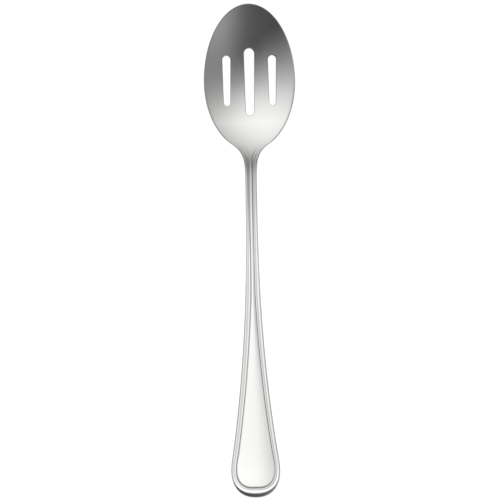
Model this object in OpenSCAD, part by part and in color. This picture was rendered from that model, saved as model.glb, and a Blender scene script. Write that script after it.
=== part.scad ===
// Slotted serving spoon: a pierced bowl, a slim neck and a bordered handle, in millimetres.
// It lies face up on the table along Y, with the tip of the bowl towards +Y.
// The sheet is drawn as cross-sections that follow the outline, upper face and under face together.

/* [Bowl] */
// Length of the bowl from its widest place to the tip
bowl_tip_l = 52; // [40:0.5:68]
// Length of the bowl from its widest place to where its oval would close at the neck
bowl_root_l = 46; // [38:0.5:60]
// Width of the bowl across the rim
bowl_w = 60.8; // [50:0.2:76]
// Depth of the hollow below the rim at the widest place
bowl_depth = 14; // [9:0.5:20]
// Lean of the rim down towards the tip, in degrees
bowl_lean = 4; // [0:0.5:7]
// Thickness of the bowl sheet
bowl_t = 1.5; // [1:0.1:2.5]
// Roundness of the rim edge, measured across the sheet
rim_round = 1; // [0.5:0.1:1.6]
// Gap under the bowl while the end of the handle lies flat on the table
bowl_gap = 0.3; // [0:0.05:1]

/* [Slots] */
// Length of the middle slot
slot_l = 45; // [30:0.5:60]
// Width of the middle slot at its end towards the tip
slot_w = 6.8; // [4:0.1:9]
// Length of each side slot
side_slot_l = 33.5; // [20:0.5:44]
// Width of each side slot at its end towards the tip
side_slot_w = 5.3; // [4:0.1:8]
// Width of a slot at its end towards the neck, as a share of its width at the other end
slot_taper = 0.8; // [0.7:0.02:1]
// Distance from the middle slot to each side slot, centre to centre
slot_pitch = 15.2; // [11:0.1:19]
// How far the side slots stand nearer to the tip than the middle slot
side_slot_shift = 0.8; // [0:0.1:3]

/* [Neck] */
// Length of the neck between the handle and the stem of the bowl
neck_l = 55; // [35:1:80]
// Width of the neck at its narrowest place
neck_w = 7.8; // [5.5:0.1:11]
// Thickness of the neck
neck_t = 4.4; // [3:0.1:6]
// Height of the top of the neck above the rim of the bowl
neck_rise = 2.2; // [1:0.2:6]
// Length of the flare from the narrowest place to the bowl
flare_l = 32; // [26:0.5:40]
// Width at which the flare runs into the oval of the bowl
flare_w = 24.8; // [20:0.2:30]
// Length of the stem that belongs to the bowl
stem_l = 12; // [8:0.5:18]
// Length over which the hollow of the bowl rises into the neck
heel_l = 25; // [18:0.5:34]

/* [Handle] */
// Length of the handle from its end to the neck
handle_l = 165; // [120:1:220]
// Width of the handle at its widest place
handle_w = 32.8; // [24:0.2:44]
// Thickness of the handle at its panel
handle_t = 2.6; // [1.8:0.1:4]
// Length of the rounded end
end_round = 26; // [18:0.5:36]
// Length of the flat place under the end that lies on the table
rest_l = 14; // [8:0.5:24]

/* [Border] */
// Width of the double beaded border around the handle
border_w = 4.1; // [2.4:0.1:5.5]
// Height of the border above the panel
border_h = 0.55; // [0.2:0.05:1]
// Rise of the panel in the middle
panel_crown = 0.3; // [0:0.05:0.8]

/* [Hidden] */
steel = [0.78, 0.78, 0.77];

// Places along the spoon, counted from the handle end
neck_end = handle_l + neck_l;
bowl_mid = neck_end + stem_l + bowl_root_l;
spoon_l = bowl_mid + bowl_tip_l;
bowl_half = bowl_w / 2;
flare_half = flare_w / 2;
flare_sink = sqrt(1 - pow(flare_half / bowl_half, 2));
flare_end = bowl_mid - bowl_root_l * flare_sink;
waist = flare_end - flare_l;

// Plan outline
neck_half = neck_w / 2;
flare_run = bowl_half / bowl_root_l * flare_sink / (flare_half / bowl_half);
flare_power = flare_run * flare_l / (flare_half - neck_half);
taper_power = 2.35;
end_power = 2.2;
widest = 0.66 * end_round;
widest_cap = pow(1 - pow(1 - widest / end_round, end_power), 1 / end_power);
widest_taper = pow(1 - widest / waist, taper_power);
taper_half = neck_half + (handle_w / 2 / widest_cap - neck_half) / widest_taper;
end_focus = 15;
tip_focus = 17.8;
roll_l = 13;
roll_gain = 2.4;

// Side profile
lean = tan(bowl_lean);
bowl_curve = bowl_depth / pow(bowl_half, 2);
keel_dip = pow(lean * bowl_tip_l, 2) / (4 * bowl_depth);
bowl_floor = bowl_gap + bowl_t + keel_dip - bowl_curve * pow(slot_w / 2, 2);
arch_z = bowl_floor + bowl_depth + neck_rise;
rest_bend = 16;
heel_end = bowl_mid - 0.6 * bowl_root_l;
heel_start = heel_end - heel_l;
crest = handle_l + 0.2 * neck_l;
neck_fall = 0.1;
heel_z = arch_z - neck_fall * (heel_start - crest) / 2;
handle_fall = 0.9 * (arch_z - handle_t) / (crest - rest_l);
bend_end = rest_l + rest_bend;
bend_z = handle_t + handle_fall * rest_bend / 2;
thick_from = 0.5 * handle_l;
thin_at = flare_end + 9;

// Steps in which the border and the panel are drawn, as shares of the border width and of the panel
edge_steps = [0, 0.134, 0.5, 1];
border_steps = [0.09, 0.19, 0.28, 0.4, 0.51, 0.58, 0.655, 0.73];
panel_steps = [0.2, 0.4, 0.6, 0.8, 1];
rows = len(edge_steps) + len(border_steps) + len(panel_steps) - 1;
ring = 4 * rows;

function mix(a, b, t) = a + (b - a) * t;
function ease(t) = let (c = min(max(t, 0), 1)) c * c * (3 - 2 * c);
function wave(a, b, t) = mix(a, b, (1 - cos(180 * t)) / 2);
function hermite(t, a, b, run_a, run_b) =
    a * (2 * t * t * t - 3 * t * t + 1)
    + b * (3 * t * t - 2 * t * t * t)
    + run_a * (t * t * t - 2 * t * t + t)
    + run_b * (t * t * t - t * t);

// Half width of the spoon
function cap(s) = s >= end_round ? 1 : pow(1 - pow(1 - s / end_round, end_power), 1 / end_power);
function taper(s) = neck_half + (taper_half - neck_half) * pow(max(0, 1 - s / waist), taper_power);
function flare(s) = neck_half + (flare_half - neck_half) * pow((s - waist) / flare_l, flare_power);
function oval(s) =
    let (reach = s > bowl_mid ? bowl_tip_l : bowl_root_l)
    bowl_half * sqrt(max(0, 1 - pow((s - bowl_mid) / reach, 2)));
function half_width(s) =
    s < waist ? taper(s) * cap(s)
    : s < flare_end ? flare(s)
    : oval(s);

// Each half section runs from the outline to a foot on the middle line, fanned out at both ends
function ray_foot(s) =
    s < 2 * end_focus ? end_focus + s / 2
    : s > spoon_l - 2 * tip_focus ? spoon_l - tip_focus - (spoon_l - s) / 2
    : s;
function reach(s) = norm([half_width(s), ray_foot(s) - s]);

// Height of the upper face along the middle
function keel(s) =
    let (reach = s > bowl_mid ? bowl_tip_l : bowl_root_l)
    bowl_floor + bowl_depth * pow((s - bowl_mid) / reach, 2) - lean * (s - bowl_mid);
function keel_fall(s) = 2 * bowl_depth * (s - bowl_mid) / pow(bowl_root_l, 2) - lean;
function spine(s) =
    s <= rest_l ? handle_t
    : s < bend_end ? handle_t + handle_fall * pow(s - rest_l, 2) / (2 * rest_bend)
    : s < crest ? hermite((s - bend_end) / (crest - bend_end), bend_z, arch_z,
        handle_fall * (crest - bend_end), 0)
    : s < heel_start ? arch_z - neck_fall * pow(s - crest, 2) / (2 * (heel_start - crest))
    : s < heel_end ? hermite((s - heel_start) / heel_l, heel_z, keel(heel_end),
        -neck_fall * heel_l, keel_fall(heel_end) * heel_l)
    : keel(s);

// How far a place has passed from the neck into the bowl
function into_bowl(s) = ease((s - neck_end) / (flare_end - neck_end));
function thickness(s) =
    s < neck_end ? mix(handle_t, neck_t, ease((s - thick_from) / (handle_l - thick_from)))
    : mix(neck_t, bowl_t, ease((s - neck_end) / (thin_at - neck_end)));

// Border of the handle: a rounded edge, an outer bead, a groove, an inner bead and a step to the panel
function border(s) = min(border_w, 0.8 * reach(s));
function end_roll(s) = 1 + roll_gain * pow(max(0, 1 - s / roll_l), 2);
function edge_round(s) = mix(0.27 * border(s) * end_roll(s), rim_round, into_bowl(s));
function under_round(s) = mix(min(1.2, 0.3 * reach(s)), rim_round, into_bowl(s));
function bead(q) =
    q < 0.28 ? wave(1, 0.5, q / 0.28)
    : q < 0.51 ? wave(0.5, 0.9, (q - 0.28) / 0.23)
    : q < 0.73 ? wave(0.9, 0, (q - 0.51) / 0.22)
    : 0;

// Columns of one half section, each [across, along, distance from the edge]
function columns(s) =
    let (
        edge = edge_round(s),
        span = mix(border(s), 0.55 * reach(s), into_bowl(s)),
        inner = edge + 0.73 * span,
        steps = concat(
            [for (q = edge_steps) edge * q],
            [for (q = border_steps) edge + span * q],
            [for (q = panel_steps) mix(inner, reach(s), q)]
        )
    )
    [for (e = steps) [half_width(s) * (1 - e / reach(s)), mix(s, ray_foot(s), e / reach(s)), e]];

// Heights of the upper and under faces at a column of station s
function base_z(c) = spine(c[1]) + bowl_curve * into_bowl(c[1]) * pow(c[0], 2);
function edge_z(c) = base_z(c) - thickness(c[1]) / 2;
function round_up(e, r) = e >= r ? 1 : sqrt(1 - pow(1 - e / r, 2));
function upper_z(c, s) =
    let (
        edge = edge_round(s),
        inner = edge + 0.73 * border(s),
        plain = 1 - into_bowl(c[1]),
        raised = plain * border_h * bead(max(0, c[2] - edge) / border(s)),
        bulge = plain * panel_crown * (c[2] <= inner ? 0
            : 1 - pow((reach(s) - c[2]) / (reach(s) - inner), 2))
    )
    mix(edge_z(c), base_z(c) + raised + bulge, round_up(c[2], edge));
function under_z(c, s) =
    mix(edge_z(c), base_z(c) - thickness(c[1]), round_up(c[2], under_round(s)));

// One closed ring of points, from the right edge over the top to the left edge and back underneath
function place(c, side, z) = [side * c[0], c[1] - spoon_l / 2, z];
function section(s) =
    let (c = columns(s))
    [for (j = [0:ring - 1])
        j <= rows ? place(c[j], 1, upper_z(c[j], s))
        : j <= 2 * rows ? place(c[2 * rows - j], -1, upper_z(c[2 * rows - j], s))
        : j <= 3 * rows ? place(c[j - 2 * rows], -1, under_z(c[j - 2 * rows], s))
        : place(c[4 * rows - j], 1, under_z(c[4 * rows - j], s))];

// At a rounded end both halves of the ring lie on the middle line, so they share their points
function folded(j) =
    j <= rows ? j
    : j <= 2 * rows ? 2 * rows - j
    : j <= 3 * rows ? (6 * rows - j) % ring
    : j;
function ring_point(i, j, fold) = i * ring + (fold ? folded(j % ring) : j % ring);

module skin(stations, fold_first, fold_last) {
    last = len(stations) - 1;
    points = [for (s = stations) each section(s)];
    sides = [for (i = [0:last - 1], j = [0:ring - 1])
        let (
            near_fold = i == 0 && fold_first,
            far_fold = i == last - 1 && fold_last,
            a = ring_point(i, j, near_fold),
            b = ring_point(i, j + 1, near_fold),
            c = ring_point(i + 1, j + 1, far_fold),
            d = ring_point(i + 1, j, far_fold),
            quarter = floor(j / rows) + (fold_first ? 1 : 0)
        )
        each (quarter % 2 == 0 ? [[a, b, c], [a, c, d]] : [[a, b, d], [b, c, d]])];
    caps = [for (i = [0, last])
        if (!(i == 0 ? fold_first : fold_last))
        for (j = [0:2 * rows - 1])
        let (
            a = ring_point(i, j, false),
            b = ring_point(i, j + 1, false),
            c = ring_point(i, ring - j - 1, false),
            d = ring_point(i, ring - j, false),
            flip = i == 0
        )
        each concat(
            j == 2 * rows - 1 ? [] : [flip ? [c, b, a] : [a, b, c]],
            j == 0 ? [] : [flip ? [d, c, a] : [a, c, d]]
        )];
    polyhedron(points = points, faces = concat(sides, caps));
}

// Where the sections stand along each piece
handle_stations = concat(
    [for (k = [0:10]) end_round * (1 - cos(9 * k))],
    [for (k = [1:26]) mix(end_round, handle_l, k / 26)]
);
neck_stations = [for (k = [0:7]) mix(handle_l, neck_end, k / 7)];
root_angle = asin(flare_half / bowl_half);
bowl_stations = concat(
    [for (k = [0:8]) mix(neck_end, flare_end, k / 8)],
    [for (k = [1:10]) bowl_mid - bowl_root_l * cos(mix(root_angle, 90, k / 10))],
    [for (k = [1:15]) bowl_mid + bowl_tip_l * sin(6 * k)]
);

module slot(length, width) {
    far = width / 2;
    near = far * slot_taper;
    linear_extrude(height = 3 * (bowl_depth + neck_rise), center = true)
        hull() {
            translate([0, length / 2 - far]) circle(r = far, $fn = 48);
            translate([0, near - length / 2]) circle(r = near, $fn = 48);
        }
}

module slots() {
    translate([0, bowl_mid - spoon_l / 2]) {
        slot(slot_l, slot_w);
        for (side = [-1, 1])
            translate([side * slot_pitch, side_slot_shift]) slot(side_slot_l, side_slot_w);
    }
}

module bowl() {
    color(steel)
        difference() {
            skin(bowl_stations, false, true);
            slots();
        }
}

module neck() {
    color(steel) skin(neck_stations, false, false);
}

module handle() {
    color(steel) skin(handle_stations, true, false);
}

bowl();
neck();
handle();
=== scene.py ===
import math
from types import SimpleNamespace

import bpy
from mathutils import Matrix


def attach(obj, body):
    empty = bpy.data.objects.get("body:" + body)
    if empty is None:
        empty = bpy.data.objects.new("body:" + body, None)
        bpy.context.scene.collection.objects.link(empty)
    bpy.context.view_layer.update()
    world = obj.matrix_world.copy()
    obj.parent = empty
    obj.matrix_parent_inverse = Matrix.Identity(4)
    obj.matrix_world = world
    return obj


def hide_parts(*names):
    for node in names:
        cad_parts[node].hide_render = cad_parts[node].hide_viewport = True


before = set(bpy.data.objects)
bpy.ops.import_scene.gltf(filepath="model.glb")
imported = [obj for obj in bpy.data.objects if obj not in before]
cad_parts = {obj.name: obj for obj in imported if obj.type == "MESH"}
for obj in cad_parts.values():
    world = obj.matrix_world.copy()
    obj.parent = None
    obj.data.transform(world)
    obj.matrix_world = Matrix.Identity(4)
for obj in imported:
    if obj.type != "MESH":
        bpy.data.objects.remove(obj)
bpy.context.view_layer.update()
mm = 0.001
print("frame loaded:", ", ".join(sorted(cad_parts)))


# A number that runs through a node tree, so that a rule can be written as plain arithmetic
class Figure:
    def __init__(self, tree, socket):
        self.tree = tree
        self.socket = socket

    def __add__(self, other):
        return calc("ADD", self, other)

    def __radd__(self, other):
        return calc("ADD", other, self)

    def __sub__(self, other):
        return calc("SUBTRACT", self, other)

    def __rsub__(self, other):
        return calc("SUBTRACT", other, self)

    def __mul__(self, other):
        return calc("MULTIPLY", self, other)

    def __rmul__(self, other):
        return calc("MULTIPLY", other, self)

    def __truediv__(self, other):
        return calc("DIVIDE", self, other)

    def __rtruediv__(self, other):
        return calc("DIVIDE", other, self)

    def __pow__(self, other):
        return calc("POWER", self, other)

    def __lt__(self, other):
        return calc("LESS_THAN", self, other)

    def __gt__(self, other):
        return calc("GREATER_THAN", self, other)


def plug(tree, term, socket):
    if isinstance(term, Figure):
        tree.links.new(term.socket, socket)
    else:
        socket.default_value = term


def calc(operation, *terms):
    tree = next(term.tree for term in terms if isinstance(term, Figure))
    node = tree.nodes.new("ShaderNodeMath")
    node.operation = operation
    for term, socket in zip(terms, node.inputs):
        plug(tree, term, socket)
    return Figure(tree, node.outputs[0])


def pick(test, yes, no):
    node = test.tree.nodes.new("GeometryNodeSwitch")
    node.input_type = "FLOAT"
    for name, term in (("Switch", test), ("True", yes), ("False", no)):
        plug(test.tree, term, node.inputs[name])
    return Figure(test.tree, node.outputs[0])


def least(a, b):
    return calc("MINIMUM", a, b)


def most(a, b):
    return calc("MAXIMUM", a, b)


def root(a):
    return calc("SQRT", a)


def between(a, b, t):
    return a + (b - a) * t


def ease(t):
    c = least(most(t, 0.0), 1.0)
    return c * c * (3.0 - 2.0 * c)


def swell(a, b, t):
    return between(a, b, (1.0 - calc("COSINE", t * math.pi)) * 0.5)


def bend(t, a, b, runA, runB):  # cubic from a to b with given slopes at its ends
    tt = t * t
    ttt = tt * t
    return (a * (2.0 * ttt - 3.0 * tt + 1.0) + b * (3.0 * tt - 2.0 * ttt)
            + runA * (ttt - 2.0 * tt + t) + runB * (ttt - tt))


def splitVector(tree, socket):
    node = tree.nodes.new("ShaderNodeSeparateXYZ")
    tree.links.new(socket, node.inputs[0])
    return [Figure(tree, out) for out in node.outputs]


def joinVector(tree, *terms):
    node = tree.nodes.new("ShaderNodeCombineXYZ")
    for term, socket in zip(terms, node.inputs):
        plug(tree, term, socket)
    return node.outputs[0]


# Sizes of the spoon, in metres and radians
bowlSizes = {
    "Tip Run": 52 * mm,
    "Root Run": 46 * mm,
    "Bowl Width": 60.8 * mm,
    "Bowl Depth": 14 * mm,
    "Bowl Lean": math.radians(4),
    "Bowl Sheet": 1.5 * mm,
    "Rim Round": 1.0 * mm,
    "Bowl Gap": 0.3 * mm,
}
slotSizes = {
    "Slot Length": 45 * mm,
    "Slot Width": 6.8 * mm,
    "Side Slot Length": 33.5 * mm,
    "Side Slot Width": 5.3 * mm,
    "Slot Taper": 0.8,
    "Slot Pitch": 15.2 * mm,
    "Side Slot Shift": 0.8 * mm,
    "Lip Round": 0.5 * mm,
}
neckSizes = {
    "Neck Length": 55 * mm,
    "Neck Width": 7.8 * mm,
    "Neck Sheet": 4.4 * mm,
    "Neck Rise": 2.2 * mm,
    "Flare Length": 32 * mm,
    "Flare Width": 24.8 * mm,
    "Stem Length": 12 * mm,
    "Heel Length": 25 * mm,
}
handleSizes = {
    "Handle Length": 165 * mm,
    "Handle Width": 32.8 * mm,
    "Handle Sheet": 2.6 * mm,
    "End Round": 26 * mm,
    "Rest Length": 14 * mm,
    "Border Width": 4.1 * mm,
    "Border Height": 0.55 * mm,
    "Panel Crown": 0.3 * mm,
}
spoonSizes = {**bowlSizes, **slotSizes, **neckSizes, **handleSizes}

# Places across the border, as shares of its width counted from the rounded edge
borderPlaces = {"edge": 0.27, "groove": 0.28, "innerBead": 0.51, "panel": 0.73, "innerBeadTop": 0.9}


def spoonRule(n):  # outline, side profile and section of the pressed sheet; s runs from the handle end
    r = SimpleNamespace()
    neckEnd = n["Handle Length"] + n["Neck Length"]
    r.bowlMid = neckEnd + n["Stem Length"] + n["Root Run"]
    r.length = r.bowlMid + n["Tip Run"]
    bowlHalf = n["Bowl Width"] * 0.5
    flareHalf = n["Flare Width"] * 0.5
    neckHalf = n["Neck Width"] * 0.5
    flareShare = flareHalf / bowlHalf
    flareSink = root(1.0 - flareShare * flareShare)
    flareEnd = r.bowlMid - n["Root Run"] * flareSink
    waist = flareEnd - n["Flare Length"]
    flareRun = bowlHalf / n["Root Run"] * flareSink / flareShare
    flarePower = flareRun * n["Flare Length"] / (flareHalf - neckHalf)
    taperPower = 2.35
    endPower = 2.2
    widest = 0.66
    widestCap = (1 - (1 - widest) ** endPower) ** (1 / endPower)
    widestTaper = (1.0 - n["End Round"] * widest / waist) ** taperPower
    taperHalf = neckHalf + (n["Handle Width"] * (0.5 / widestCap) - neckHalf) / widestTaper
    endFocus = 15 * mm
    tipFocus = 17.8 * mm
    rollLength = 13 * mm
    rollGain = 2.4
    lean = calc("TANGENT", n["Bowl Lean"])
    curve = n["Bowl Depth"] / (bowlHalf * bowlHalf)
    keelDip = (lean * n["Tip Run"]) ** 2.0 / (4.0 * n["Bowl Depth"])
    floorRise = n["Bowl Gap"] + n["Bowl Sheet"] + keelDip - curve * (n["Slot Width"] * 0.5) ** 2.0
    archTop = floorRise + n["Bowl Depth"] + n["Neck Rise"]
    restBend = 16 * mm
    heelEnd = r.bowlMid - n["Root Run"] * 0.6
    heelStart = heelEnd - n["Heel Length"]
    r.throat = heelStart - 1 * mm
    crest = n["Handle Length"] + n["Neck Length"] * 0.2
    neckFall = 0.1
    heelTop = archTop - (heelStart - crest) * (neckFall / 2)
    fall = 0.9 * (archTop - n["Handle Sheet"]) / (crest - n["Rest Length"])
    bendEnd = n["Rest Length"] + restBend
    bendTop = n["Handle Sheet"] + fall * (restBend / 2)
    thickFrom = n["Handle Length"] * 0.5
    thinAt = flareEnd + 9 * mm

    def halfWidth(s):
        cap = (1.0 - most(0.0, 1.0 - s / n["End Round"]) ** endPower) ** (1 / endPower)
        taper = neckHalf + (taperHalf - neckHalf) * most(0.0, 1.0 - s / waist) ** taperPower
        flare = neckHalf + (flareHalf - neckHalf) * most(0.0, (s - waist) / n["Flare Length"]) ** flarePower
        run = (s - r.bowlMid) / pick(s > r.bowlMid, n["Tip Run"], n["Root Run"])
        oval = bowlHalf * root(most(0.0, 1.0 - run * run))
        return pick(s < waist, taper * cap, pick(s < flareEnd, flare, oval))

    def rayFoot(s):  # where a half section ends on the middle line, fanned out at both ends
        nearEnd = endFocus + s * 0.5
        nearTip = r.length - tipFocus - (r.length - s) * 0.5
        return pick(s < 2 * endFocus, nearEnd, pick(s > r.length - 2 * tipFocus, nearTip, s))

    def keel(s):
        run = (s - r.bowlMid) / pick(s > r.bowlMid, n["Tip Run"], n["Root Run"])
        return floorRise + n["Bowl Depth"] * run * run - lean * (s - r.bowlMid)

    heelEndTop = keel(heelEnd)
    heelEndFall = 2.0 * n["Bowl Depth"] * (heelEnd - r.bowlMid) / (n["Root Run"] * n["Root Run"]) - lean

    def spine(s):
        rise = n["Handle Sheet"] + fall * (s - n["Rest Length"]) ** 2.0 / (2 * restBend)
        arch = bend((s - bendEnd) / (crest - bendEnd), bendTop, archTop, fall * (crest - bendEnd), 0.0)
        saddle = archTop - (s - crest) ** 2.0 * neckFall / (2.0 * (heelStart - crest))
        heel = bend((s - heelStart) / n["Heel Length"], heelTop, heelEndTop,
                    -neckFall * n["Heel Length"], heelEndFall * n["Heel Length"])
        return pick(s < n["Rest Length"], n["Handle Sheet"],
                    pick(s < bendEnd, rise, pick(s < crest, arch,
                         pick(s < heelStart, saddle, pick(s < heelEnd, heel, keel(s))))))

    def intoBowl(s):
        return ease((s - neckEnd) / (flareEnd - neckEnd))

    def sheet(s):
        grow = between(n["Handle Sheet"], n["Neck Sheet"],
                       ease((s - thickFrom) / (n["Handle Length"] - thickFrom)))
        thin = between(n["Neck Sheet"], n["Bowl Sheet"], ease((s - neckEnd) / (thinAt - neckEnd)))
        return pick(s < neckEnd, grow, thin)

    def upper(x, s):
        return spine(s) + curve * intoBowl(s) * x * x

    def bead(q, valley):  # outer bead, groove, inner bead and step to the panel
        groove, innerBead, panel = (borderPlaces[key] for key in ("groove", "innerBead", "panel"))
        innerTop = borderPlaces["innerBeadTop"]
        first = swell(1.0, valley, q / groove)
        second = swell(valley, innerTop, (q - groove) / (innerBead - groove))
        step = swell(innerTop, 0.0, (q - innerBead) / (panel - innerBead))
        return pick(q < groove, first, pick(q < innerBead, second, pick(q < panel, step, 0.0)))

    def endRoll(s):
        return 1.0 + rollGain * most(0.0, 1.0 - s / rollLength) ** 2.0

    r.halfWidth, r.rayFoot, r.intoBowl, r.sheet = halfWidth, rayFoot, intoBowl, sheet
    r.upper, r.bead, r.endRoll = upper, bead, endRoll
    return r


def startTree(name, sizes, counts, takesMesh):
    tree = bpy.data.node_groups.new(name, "GeometryNodeTree")
    tree.is_modifier = True
    tree.interface.new_socket("Mesh", in_out="OUTPUT", socket_type="NodeSocketGeometry")
    if takesMesh:
        tree.interface.new_socket("Mesh", in_out="INPUT", socket_type="NodeSocketGeometry")
    for values, kind in ((sizes, "NodeSocketFloat"), (counts, "NodeSocketInt")):
        for label, value in values.items():
            socket = tree.interface.new_socket(label, in_out="INPUT", socket_type=kind)
            socket.default_value = value
    tree.interface.new_socket("Finish", in_out="INPUT", socket_type="NodeSocketMaterial")
    given = tree.nodes.new("NodeGroupInput")
    figures = {label: Figure(tree, given.outputs[label]) for label in (*sizes, *counts)}
    return tree, given, figures


def addNode(tree, kind, geometry=None, **values):
    node = tree.nodes.new(kind)
    if geometry is not None:
        tree.links.new(geometry, node.inputs[0])
    for label, value in values.items():
        plug(tree, value, node.inputs[label.replace("_", " ")])
    return node


def storeShade(tree, geometry, label, value):
    node = addNode(tree, "GeometryNodeStoreNamedAttribute", geometry, Name=label, Value=value)
    node.data_type = "FLOAT"
    node.domain = "POINT"
    return node.outputs[0]


crispAngle = 0.6  # edges that bend more, in radians, stay sharp


def closeTree(tree, given, geometry):  # smooth faces, crisp corners, one plain mesh with its finish
    smooth = addNode(tree, "GeometryNodeSetShadeSmooth", geometry)
    angle = Figure(tree, addNode(tree, "GeometryNodeInputMeshEdgeAngle").outputs[0])
    corners = addNode(tree, "GeometryNodeSetShadeSmooth", smooth.outputs[0],
                      Shade_Smooth=angle < crispAngle)
    corners.domain = "EDGE"
    whole = addNode(tree, "GeometryNodeRealizeInstances", corners.outputs[0])
    painted = addNode(tree, "GeometryNodeSetMaterial", whole.outputs[0])
    tree.links.new(given.outputs["Finish"], painted.inputs["Material"])
    out = tree.nodes.new("NodeGroupOutput")
    tree.links.new(painted.outputs[0], out.inputs[0])


def unitGrid(tree, countX, countY):
    grid = addNode(tree, "GeometryNodeMeshGrid", Size_X=1.0, Size_Y=1.0,
                   Vertices_X=countX, Vertices_Y=countY)
    return grid.outputs["Mesh"]


def gridPlace(tree):
    x, y, z = splitVector(tree, addNode(tree, "GeometryNodeInputPosition").outputs[0])
    return x + 0.5, y + 0.5, z


def moveTo(tree, geometry, place):
    node = addNode(tree, "GeometryNodeSetPosition", geometry)
    tree.links.new(place, node.inputs["Position"])
    return node.outputs[0]


def mergeClose(tree, geometry):
    return addNode(tree, "GeometryNodeMergeByDistance", geometry, Distance=1e-6).outputs[0]


# The pressed sheet: rings of points that follow the outline, upper and under face together
skinCounts = {"Stations": 120, "Rows": 56, "Cap Start": 1, "Cap Finish": 1, "Gather": 0}
skinEnds = {"From": 0.0, "To": 100 * mm}

# Shares of a half section's rows that draw the rounded edge and the border; the rest draws the panel
rowShares = {"edge": 0.2, "border": 0.42}

# Painted shade on the upper face: dark lines in the border's groove and on its step, with their own
# strengths on left and right. Lines lie across the border as borderPlaces do
paintedShadeLines = {
    "step": 0.70, "stepWidth": 0.15, "stepRight": 0.40, "stepRightNeck": 1.05,
    "stepLeft": 0.66, "stepLeftNeck": 0.76, "stepEnd": 1.3, "stepWiderEnd": 0.12,
    "outwardLeftNeck": 0.34, "widerLeftNeck": 0.15,
    "grooveWidth": 0.13, "groovePaintedShade": 0.38, "soft": 0.7,
}
# Runs and widths of the painted shade: at the handle's end, in the neck, round the throat and along the
# edge; the edge shade is lifted round the tip
paintedShadeRuns = {
    "end": 22 * mm, "neckFrom": 150 * mm, "neckRun": 55 * mm, "throat": 7 * mm,
    "rimLeft": 0.95 * mm, "rimRight": 1.15 * mm, "rimLeftEnd": 0.2 * mm, "rimBowl": 1.8 * mm,
    "brightFrom": 264 * mm, "brightRun": 26 * mm, "bright": 0.85,
}
valleyAtEnd = 0.25  # how much shallower the groove gets at the end of the handle


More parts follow.
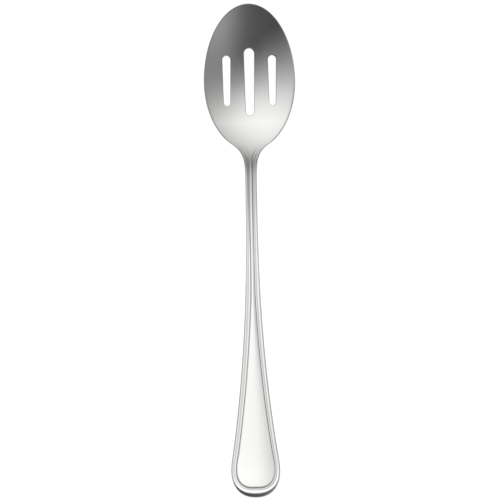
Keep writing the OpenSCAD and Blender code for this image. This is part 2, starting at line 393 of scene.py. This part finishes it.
def makeSkinTree():
    tree, given, n = startTree("spoonSkin", {**spoonSizes, **skinEnds}, skinCounts, False)
    r = spoonRule(n)
    last = n["Stations"] - 1.0
    ring = n["Rows"] * 4.0
    total = n["Stations"] + n["Cap Start"] + n["Cap Finish"]
    sheet = unitGrid(tree, total, ring + 1.0)
    u, v, _ = gridPlace(tree)

    row = calc("ROUND", u * (total - 1.0)) - n["Cap Start"]
    station = least(most(row, 0.0), last)
    share = station / last
    pull = 0.18  # the smaller, the closer the stations stand at a rounded end

    def gathered(a):
        return (root(a * a + pull * pull) - pull) * (1 / (math.sqrt(1 + pull * pull) - pull))

    share = pick(n["Gather"] > 0.5, gathered(share),
                 pick(n["Gather"] < -0.5, 1.0 - gathered(1.0 - share), share))
    s = between(n["From"], n["To"], share)
    onCap = calc("ABSOLUTE", row - station) > 0.5

    turn = calc("ROUND", v * ring) / n["Rows"]
    f = calc("PINGPONG", turn, 1.0)
    side = pick(calc("ABSOLUTE", turn - 2.0) < 1.0, -1.0, 1.0)
    onTop = turn < 2.0

    half = r.halfWidth(s)
    foot = r.rayFoot(s)
    reach = root(half * half + (foot - s) ** 2.0)
    into = r.intoBowl(s)
    border = least(n["Border Width"], reach * 0.8)
    edge = between(border * borderPlaces["edge"] * r.endRoll(s), n["Rim Round"], into)
    underEdge = between(least(1.2 * mm, reach * 0.3), n["Rim Round"], into)
    span = between(border, reach * 0.55, into)
    inner = edge + span * borderPlaces["panel"]
    edgeRows = rowShares["edge"]
    beltRows = edgeRows + rowShares["border"]
    lead = edge * (1.0 - calc("COSINE", f * (math.pi / 2 / edgeRows)))
    belt = between(edge, inner, (f - edgeRows) / rowShares["border"])
    panel = between(inner, reach, (f - beltRows) / (1.0 - beltRows))
    e = pick(f < edgeRows, lead, pick(f < beltRows, belt, panel))

    x = side * half * (1.0 - e / reach)
    along = between(s, foot, e / reach)
    top = r.upper(x, along)
    sheetHere = r.sheet(along)
    middle = top - sheetHere * 0.5
    plain = 1.0 - r.intoBowl(along)
    q = (e - edge) / border
    panelEdge = edge + border * borderPlaces["panel"]
    crown = 1.0 - ((reach - e) / (reach - panelEdge)) ** 2.0
    atEnd = ease(1.0 - s / paintedShadeRuns["end"])
    raised = plain * n["Border Height"] * r.bead(most(q, 0.0), 0.5 + atEnd * valleyAtEnd)
    bulge = plain * n["Panel Crown"] * pick(e > panelEdge, crown, 0.0)

    def roundUp(radius):
        return root(1.0 - most(0.0, 1.0 - e / radius) ** 2.0)

    above = between(middle, top + raised + bulge, roundUp(edge))
    below = between(middle, top - sheetHere, roundUp(underEdge))
    z = pick(onCap, middle, pick(onTop, above, below))

    def nearLine(place, width):
        return ease((width - calc("ABSOLUTE", q - place)) / (width * paintedShadeLines["soft"]))

    # painted shade lines in the groove and on the step, with their own strengths on left and right and in
    # the neck
    onRight = side > 0.0
    inNeck = ease((s - paintedShadeRuns["neckFrom"]) / paintedShadeRuns["neckRun"])
    leftNeck = pick(onRight, 0.0, inNeck)
    stepPlace = paintedShadeLines["step"] - leftNeck * paintedShadeLines["outwardLeftNeck"]
    stepWidth = (paintedShadeLines["stepWidth"] + atEnd * paintedShadeLines["stepWiderEnd"]
                 + leftNeck * paintedShadeLines["widerLeftNeck"])
    stepPaintedShade = pick(onRight, between(paintedShadeLines["stepRight"], paintedShadeLines["stepRightNeck"], inNeck),
                    between(paintedShadeLines["stepLeft"], paintedShadeLines["stepLeftNeck"], inNeck))
    step = nearLine(stepPlace, stepWidth) * between(stepPaintedShade, paintedShadeLines["stepEnd"], atEnd)
    outer = nearLine(borderPlaces["groove"], paintedShadeLines["grooveWidth"]) * paintedShadeLines["groovePaintedShade"]
    # width of the painted dark edge shade, different on left and right and at the handle's end, and wider
    # in the bowl
    rimWidth = pick(onRight, paintedShadeRuns["rimRight"], paintedShadeRuns["rimLeft"] + atEnd * paintedShadeRuns["rimLeftEnd"])
    rimWidth = between(rimWidth, paintedShadeRuns["rimBowl"], into)
    lessEdgeShadeAtTip = ease((along - paintedShadeRuns["brightFrom"]) / paintedShadeRuns["brightRun"]) * paintedShadeRuns["bright"]
    # painted shade masks for the material: groove and step lines, dark edge, throat; bowlShare only blends
    # the two parts' finishes
    shades = {
        "groove": plain * pick(onTop, most(outer, step), 0.0),
        "rim": ease(1.0 - e / rimWidth) * (1.0 - lessEdgeShadeAtTip),  # painted dark edge shade, lifted round the tip
        # painted shade round the throat, where the neck meets the bowl
        "throat": calc("EXPONENT", ((along - r.throat) / paintedShadeRuns["throat"]) ** 2.0 * -1.0),
        "bowlShare": r.intoBowl(along),
    }
    for label, value in shades.items():
        sheet = storeShade(tree, sheet, label, value)
    sheet = moveTo(tree, sheet, joinVector(tree, x, along - r.length * 0.5, z))
    closeTree(tree, given, mergeClose(tree, sheet))
    return tree


# The drain slots: three cutters with rounded lips that follow the bowl's faces
slotCounts = {"Slots": 3, "Around": 168, "Lip Steps": 4}
cutterSizes = {"past": 6 * mm, "clear": 0.02 * mm}
lipPaintedShadeReach = 0.95  # reach of the painted shade on the slot lips, as a share of the lip's rounding


def makeSlotTree():
    tree, given, n = startTree("drainSlots", spoonSizes, slotCounts, True)
    r = spoonRule(n)
    levels = n["Lip Steps"] * 2.0 + 6.0
    tube = unitGrid(tree, n["Around"] + 1.0, levels)
    index = Figure(tree, addNode(tree, "GeometryNodeInputIndex").outputs[0])
    points = addNode(tree, "GeometryNodePoints", Count=n["Slots"])
    tree.links.new(joinVector(tree, 0.0, 0.0, index - (n["Slots"] - 1.0) * 0.5), points.inputs["Position"])
    placed = addNode(tree, "GeometryNodeInstanceOnPoints", points.outputs[0])
    tree.links.new(tube, placed.inputs["Instance"])
    cutters = addNode(tree, "GeometryNodeRealizeInstances", placed.outputs[0]).outputs[0]

    u, v, z = gridPlace(tree)
    side = calc("ROUND", z)
    middleSlot = calc("ABSOLUTE", side) < 0.5
    far = pick(middleSlot, n["Slot Width"], n["Side Slot Width"]) * 0.5  # radius at the tip's end
    near = far * n["Slot Taper"]
    slotHalf = pick(middleSlot, n["Slot Length"], n["Side Slot Length"]) * 0.5
    straight = slotHalf * 2.0 - far - near
    twice = calc("ROUND", u * n["Around"]) / n["Around"] * 2.0
    upward = twice < 1.0
    turn = pick(upward, 1.0, -1.0)
    first = pick(upward, near, far)
    second = pick(upward, far, near)
    firstRun = pick(upward, near - slotHalf, slotHalf - far)
    q = pick(upward, twice, twice - 1.0) * (straight + second * math.pi)
    arc = most(0.0, q - straight) / second
    onStraight = q < straight

    level = calc("ROUND", v * (levels - 1.0))
    fromEnd = least(level, levels - 1.0 - level)
    swing = least(most((fromEnd - 2.0) / n["Lip Steps"], 0.0), 1.0) * (math.pi / 2)
    wider = n["Lip Round"] * (1.0 - calc("SINE", swing))
    drop = cutterSizes["clear"] + n["Lip Round"] * (1.0 - calc("COSINE", swing))
    closing = fromEnd < 0.5
    beside = pick(onStraight, between(first, second, q / straight) + wider,
                  (second + wider) * calc("COSINE", arc))
    run = firstRun + turn * pick(onStraight, q, straight + (second + wider) * calc("SINE", arc))
    across = pick(closing, 0.0, turn * beside)
    along = r.bowlMid + pick(middleSlot, 0.0, n["Side Slot Shift"]) + pick(closing, 0.0, run)
    x = side * n["Slot Pitch"] + across
    top = r.upper(x, along)
    under = top - r.sheet(along)
    outside = fromEnd < 1.5
    upperSide = pick(outside, top + cutterSizes["past"], top - drop)
    underSide = pick(outside, under - cutterSizes["past"], under + drop)
    height = pick(level > (levels - 1.0) * 0.5, upperSide, underSide)
    cutters = moveTo(tree, cutters, joinVector(tree, x, along - r.length * 0.5, height))
    cutters = mergeClose(tree, cutters)

    pierced = tree.nodes.new("GeometryNodeMeshBoolean")
    pierced.operation = "DIFFERENCE"
    pierced.solver = "MANIFOLD"
    tree.links.new(given.outputs["Mesh"], pierced.inputs["Mesh 1"])
    tree.links.new(cutters, pierced.inputs["Mesh 2"])

    x, y, _ = splitVector(tree, addNode(tree, "GeometryNodeInputPosition").outputs[0])
    fromMiddle = y + (r.length * 0.5 - r.bowlMid)

    def pastLip(x, y, length, width):  # distance in plan from a slot's outline
        far = width * 0.5
        near = far * n["Slot Taper"]
        low = near - length * 0.5
        high = length * 0.5 - far
        share = least(most((y - low) / (high - low), 0.0), 1.0)
        return root(x * x + (y - between(low, high, share)) ** 2.0) - between(near, far, share)

    past = least(pastLip(x, fromMiddle, n["Slot Length"], n["Slot Width"]),
                 pastLip(calc("ABSOLUTE", x) - n["Slot Pitch"], fromMiddle - n["Side Slot Shift"],
                         n["Side Slot Length"], n["Side Slot Width"]))
    # painted shade along the slot lips, a dark line where their rounding turns away
    lip = ease(1.0 - past / (n["Lip Round"] * lipPaintedShadeReach))
    closeTree(tree, given, storeShade(tree, pierced.outputs["Mesh"], "lip", lip))
    return tree


def setInputs(modifier, values):
    for item in modifier.node_group.interface.items_tree:
        if item.item_type == "SOCKET" and item.in_out == "INPUT" and item.name in values:
            modifier[item.identifier] = values[item.name]


def makePiece(name, steps):
    piece = bpy.data.objects.new(name, bpy.data.meshes.new(name))
    bpy.context.scene.collection.objects.link(piece)
    for tree, values in steps:
        modifier = piece.modifiers.new(tree.name, "NODES")
        modifier.node_group = tree
        setInputs(modifier, values)
    graph = bpy.context.evaluated_depsgraph_get()
    shaped = piece.evaluated_get(graph)
    made = bpy.data.meshes.new_from_object(shaped, preserve_all_data_layers=True, depsgraph=graph)
    piece.modifiers.clear()
    empty = piece.data
    piece.data = made
    bpy.data.meshes.remove(empty)
    made.name = name
    print(name, "made with", len(made.vertices), "points and", len(made.polygons), "faces")
    return piece


# Shader groups of the steel
def startGroup(name, inputs, outputs):
    tree = bpy.data.node_groups.new(name, "ShaderNodeTree")
    for label, value in inputs.items():
        socket = tree.interface.new_socket(label, in_out="INPUT", socket_type="NodeSocketFloat")
        socket.default_value = value
    for label in outputs:
        tree.interface.new_socket(label, in_out="OUTPUT", socket_type="NodeSocketFloat")
    given = tree.nodes.new("NodeGroupInput")
    result = tree.nodes.new("NodeGroupOutput")
    figures = {label: Figure(tree, given.outputs[label]) for label in inputs}
    return tree, figures, result


def objectPlace(tree):
    return tree.nodes.new("ShaderNodeTexCoord").outputs["Object"]


def speckle(tree, place, scale, detail):
    node = tree.nodes.new("ShaderNodeTexNoise")
    tree.links.new(place, node.inputs["Vector"])
    plug(tree, scale, node.inputs["Scale"])
    node.inputs["Detail"].default_value = detail
    return Figure(tree, node.outputs["Fac"])


def makeScratchGroup():  # fine lines left by the polishing wheel, drawn out along a slanted direction
    tree, n, result = startGroup("polishingLines", {"Scale": 900.0, "Slant": 0.0}, ("Lines",))
    turned = tree.nodes.new("ShaderNodeMapping")
    tree.links.new(objectPlace(tree), turned.inputs["Vector"])
    tree.links.new(joinVector(tree, 0.0, 0.0, n["Slant"]), turned.inputs["Rotation"])
    drawnOut = 0.025
    turned.inputs["Scale"].default_value = (1.0, drawnOut, 1.0)
    lines = speckle(tree, turned.outputs[0], n["Scale"], detail=3.0)
    tree.links.new(lines.socket, result.inputs["Lines"])
    return tree


def makeHazeGroup():  # soft patches left by washing and handling
    tree, n, result = startGroup("handlingHaze", {"Scale": 40.0}, ("Haze",))
    haze = speckle(tree, objectPlace(tree), n["Scale"], detail=4.0)
    low, high = 0.35, 0.70
    tree.links.new(ease((haze - low) / (high - low)).socket, result.inputs["Haze"])
    return tree


def shadeOf(tree, label):
    node = tree.nodes.new("ShaderNodeAttribute")
    node.attribute_name = label
    return Figure(tree, node.outputs["Fac"])


def makePaintedShadeGroup():  # painted shade: darker colour along the pressed lines, in the throat, on the slot lips and along the cut edge
    inputs = {"Groove PaintedShade": 0.5, "Throat PaintedShade": 0.5, "Lip PaintedShade": 0.5, "Edge PaintedShade": 0.5}
    tree, n, result = startGroup("paintedShadeMasks", inputs, ("PaintedShade", "Edge"))
    paintedShade = {}
    for label, strength in zip(("groove", "throat", "lip", "rim"), inputs):
        paintedShade[label] = shadeOf(tree, label) * n[strength]
    allPaintedShade = 1.0 - (1.0 - paintedShade["groove"]) * (1.0 - paintedShade["throat"]) * (1.0 - paintedShade["lip"])
    tree.links.new(allPaintedShade.socket, result.inputs["PaintedShade"])
    tree.links.new(paintedShade["rim"].socket, result.inputs["Edge"])
    return tree


# Clean steel colour, then the dark colour and strengths of the painted shade along grooves, throat, slot
# lips and edge
steelFinish = {
    "clean": (0.805, 0.805, 0.795, 1.0), "paintedShade": (0.14, 0.14, 0.132, 1.0), "paintedShadeRough": 0.11,
    "groovePaintedShade": 0.75, "throatPaintedShade": 0.42, "lipPaintedShade": 0.9, "edgePaintedShade": 0.95,
    "haze": 0.05, "hazeScale": 40.0, "leastRough": 0.04,
}
# Roughness and polishing lines of each part, and the dark colour painted as shade along its edge
handleWheelAndEdgeShade = {
    "edge": (0.16, 0.16, 0.155, 1.0), "edgeRough": 0.10,
    "smooth": 0.13, "lines": 0.06, "lineScale": 900.0, "slant": -0.12, "bump": 0.015,
}
bowlWheelAndEdgeShade = {
    "edge": (0.46, 0.46, 0.45, 1.0), "edgeRough": 0.30,
    "smooth": 0.17, "lines": 0.10, "lineScale": 700.0, "slant": 0.35, "bump": 0.02,
}
scratchGroup = makeScratchGroup()
hazeGroup = makeHazeGroup()
paintedShadeGroup = makePaintedShadeGroup()


def placeGroup(tree, group, values):
    node = tree.nodes.new("ShaderNodeGroup")
    node.node_tree = group
    for label, value in values.items():
        node.inputs[label].default_value = value
    return [Figure(tree, out) for out in node.outputs]


def mixColour(tree, share, first, second):
    node = tree.nodes.new("ShaderNodeMix")
    node.data_type = "RGBA"
    tree.links.new(share.socket, node.inputs["Factor"])
    for colour, socket in ((first, node.inputs[6]), (second, node.inputs[7])):
        if isinstance(colour, tuple):
            socket.default_value = colour
        else:
            tree.links.new(colour, socket)
    return node.outputs[2]


def makeSteel(name, finish, first, second):  # goes over from one wheel to another at the bowl's root
    steel = bpy.data.materials.new(name)
    steel.use_nodes = True
    tree = steel.node_tree
    shader = next(node for node in tree.nodes if node.type == "BSDF_PRINCIPLED")
    shader.inputs["Metallic"].default_value = 1.0
    share = shadeOf(tree, "bowlShare")

    def blend(key):
        return between(first[key], second[key], share)

    scratches = [placeGroup(tree, scratchGroup, {"Scale": wheel["lineScale"], "Slant": wheel["slant"]})[0]
                 for wheel in (first, second)]
    lines = between(scratches[0], scratches[1], share)
    haze, = placeGroup(tree, hazeGroup, {"Scale": finish["hazeScale"]})
    paintedShade, edge = placeGroup(tree, paintedShadeGroup, {
        "Groove PaintedShade": finish["groovePaintedShade"], "Throat PaintedShade": finish["throatPaintedShade"],
        "Lip PaintedShade": finish["lipPaintedShade"], "Edge PaintedShade": finish["edgePaintedShade"]})
    # painted shade: the dark colour laid over the clean steel along grooves, throat and slot lips, and the
    # dark edge colour along the rim
    paintedEdgeColour = mixColour(tree, share, first["edge"], second["edge"])
    colour = mixColour(tree, edge, mixColour(tree, paintedShade, finish["clean"], finish["paintedShade"]), paintedEdgeColour)
    tree.links.new(colour, shader.inputs["Base Color"])
    rough = (blend("smooth") + (lines - 0.5) * blend("lines") + haze * finish["haze"]
             + paintedShade * finish["paintedShadeRough"] + edge * blend("edgeRough"))
    tree.links.new(most(rough, finish["leastRough"]).socket, shader.inputs["Roughness"])
    bump = tree.nodes.new("ShaderNodeBump")
    bump.inputs["Distance"].default_value = 0.1 * mm
    bump.inputs["Strength"].default_value = 1.0
    tree.links.new((lines * blend("bump")).socket, bump.inputs["Height"])
    tree.links.new(bump.outputs["Normal"], shader.inputs["Normal"])
    return steel


polishedSteel = makeSteel("polishedSteel", steelFinish, handleWheelAndEdgeShade, bowlWheelAndEdgeShade)
print("finish ready")

skinTree = makeSkinTree()
slotTree = makeSlotTree()
print("shape trees ready")

neckStart = handleSizes["Handle Length"]
neckFinish = neckStart + neckSizes["Neck Length"]
spoonLength = neckFinish + neckSizes["Stem Length"] + bowlSizes["Root Run"] + bowlSizes["Tip Run"]
zones = {
    "handle": {
        "From": 0.0, "To": neckStart, "Stations": 170,
        "Cap Start": 0, "Cap Finish": 1, "Gather": 1,
    },
    "neck": {
        "From": neckStart, "To": neckFinish, "Stations": 64,
        "Cap Start": 1, "Cap Finish": 1, "Gather": 0,
    },
    "bowl": {
        "From": neckFinish, "To": spoonLength, "Stations": 150,
        "Cap Start": 1, "Cap Finish": 0, "Gather": -1,
    },
}
for node, zone in zones.items():
    steps = [(skinTree, {**spoonSizes, **skinCounts, **zone, "Finish": polishedSteel})]
    if node == "bowl":
        steps.append((slotTree, {**spoonSizes, **slotCounts, "Finish": polishedSteel}))
    piece = makePiece(node + "Steel", steps)
    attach(piece, "root")
    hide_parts(node)


# Studio: pale floor, a long soft box over the handle and a sky that is bright behind the neck
floorSizes = {"half": 4.0, "paper": 0.35, "glow": 0.86, "below": 0.05 * mm}
floorMesh = bpy.data.meshes.new("floor")
h = floorSizes["half"]
floorMesh.from_pydata([(-h, -h, 0), (h, -h, 0), (h, h, 0), (-h, h, 0)], [], [(0, 1, 2, 3)])
floor = bpy.data.objects.new("floor", floorMesh)
floor.location.z = -floorSizes["below"]
bpy.context.scene.collection.objects.link(floor)
paper = bpy.data.materials.new("paper")
paper.use_nodes = True
tree = paper.node_tree
tree.nodes.clear()
path = tree.nodes.new("ShaderNodeLightPath")
seen = most(most(Figure(tree, path.outputs["Is Camera Ray"]), Figure(tree, path.outputs["Is Glossy Ray"])),
            Figure(tree, path.outputs["Is Transmission Ray"]))
glow = tree.nodes.new("ShaderNodeEmission")
plug(tree, seen * floorSizes["glow"], glow.inputs["Strength"])
matte = tree.nodes.new("ShaderNodeBsdfDiffuse")
matte.inputs["Color"].default_value = (*[floorSizes["paper"]] * 3, 1.0)
both = tree.nodes.new("ShaderNodeAddShader")
tree.links.new(glow.outputs[0], both.inputs[0])
tree.links.new(matte.outputs[0], both.inputs[1])
out = tree.nodes.new("ShaderNodeOutputMaterial")
tree.links.new(both.outputs[0], out.inputs["Surface"])
floorMesh.materials.append(paper)

boxSettings = {
    "left": -0.10, "right": 0.20, "rear": -0.183, "front": 0.072, "height": 0.07,
    "side": 0.60, "core": 0.46, "fadeFront": 0.082,
    "coreLeft": -0.060, "coreRight": 0.028, "fadeLeft": 0.040, "fadeRight": 0.030,
    "leftRear": 0.16, "leftFront": -0.45, "leftRun": 0.06, "frontFrom": 0.02, "frontRun": 0.035,
}
b = boxSettings
lamp = bpy.data.lights.new("softBox", "AREA")
lamp.shape = "RECTANGLE"
lamp.size = b["right"] - b["left"]
lamp.size_y = b["front"] - b["rear"]
lamp.energy = math.pi * lamp.size * lamp.size_y  # so that a glow of 1 looks white
lamp.use_nodes = True
tree = lamp.node_tree
u, v, _ = splitVector(tree, tree.nodes.new("ShaderNodeNewGeometry").outputs["Parametric"])
x = b["left"] + u * lamp.size
y = b["rear"] + v * lamp.size_y
core = ease((b["coreRight"] - x) / b["fadeRight"]) * ease((x - b["coreLeft"]) / b["fadeLeft"])
fade = root(least(1.0, (b["front"] - y) / b["fadeFront"]))
glow = next(node for node in tree.nodes if node.type == "EMISSION")
toFront = ease((y - b["frontFrom"]) / b["frontRun"])
leftSide = ease(x / -b["leftRun"]) * between(b["leftRear"], b["leftFront"], toFront)
plug(tree, (b["side"] + b["core"] * core + leftSide) * fade, glow.inputs["Strength"])
softBox = bpy.data.objects.new("softBox", lamp)
softBox.location = ((b["left"] + b["right"]) / 2, (b["rear"] + b["front"]) / 2, b["height"])
softBox.visible_camera = False
bpy.context.scene.collection.objects.link(softBox)

skySettings = {
    "dark": 0.08, "darker": 0.3, "darkFrom": -0.55, "darkRun": 0.3,
    "bright": 1.18, "slant": 0.2, "brightFrom": -0.292, "brightRun": 1.32,
    "dim": 0.2, "dimFrom": 0.76, "dimRun": 0.2,
    "side": 0.31, "sideFocus": 4.2, "sideAim": (0.837, -0.499, 0.223),
    "flag": 0.25, "flagFrom": -0.55, "flagRun": 0.35, "flagBehind": 0.25, "flagFade": 0.4,
}
k = skySettings
world = bpy.data.worlds.new("studio")
bpy.context.scene.world = world
world.use_nodes = True
tree = world.node_tree
dx, dy, dz = splitVector(tree, tree.nodes.new("ShaderNodeTexCoord").outputs["Generated"])
behind = ease((dy - dx * k["slant"] - k["brightFrom"]) / k["brightRun"])
behind = behind * (1.0 - ease((dy - k["dimFrom"]) / k["dimRun"]) * k["dim"])
aimX, aimY, aimZ = k["sideAim"]
right = calc("EXPONENT", (dx * aimX + dy * aimY + dz * aimZ - 1.0) * k["sideFocus"])
dark = k["dark"] * (1.0 - k["darker"] * ease((dy - k["darkFrom"]) / -k["darkRun"]))
onLeft = ease((dx - k["flagFrom"]) / -k["flagRun"])
flag = 1.0 - k["flag"] * onLeft * ease((k["flagBehind"] - dy) / k["flagFade"])
sky = (dark + k["bright"] * behind + k["side"] * right) * flag
background = next(node for node in tree.nodes if node.type == "BACKGROUND")
tree.links.new(sky.socket, background.inputs["Color"])
print("studio ready")

# Camera straight above, turned a little
cameraSettings = {
    "distance": 2.0, "span": 332.7 * mm, "turn": math.radians(0.93),
    "right": -1.46 * mm, "up": 0.67 * mm, "lift": 13 * mm,
}
c = cameraSettings
lens = bpy.data.cameras.new("camera")
lens.sensor_width = 36.0
lens.lens = 36.0 * c["distance"] / c["span"]
lens.clip_end = 20.0
camera = bpy.data.objects.new("camera", lens)
camera.rotation_euler = (0.0, 0.0, -c["turn"])
camera.location = (
    math.cos(c["turn"]) * c["right"] + math.sin(c["turn"]) * c["up"],
    math.cos(c["turn"]) * c["up"] - math.sin(c["turn"]) * c["right"],
    c["distance"] + c["lift"],
)
bpy.context.scene.collection.objects.link(camera)
bpy.context.scene.camera = camera
bpy.context.scene.view_settings.view_transform = "Standard"

bpy.context.view_layer.update()
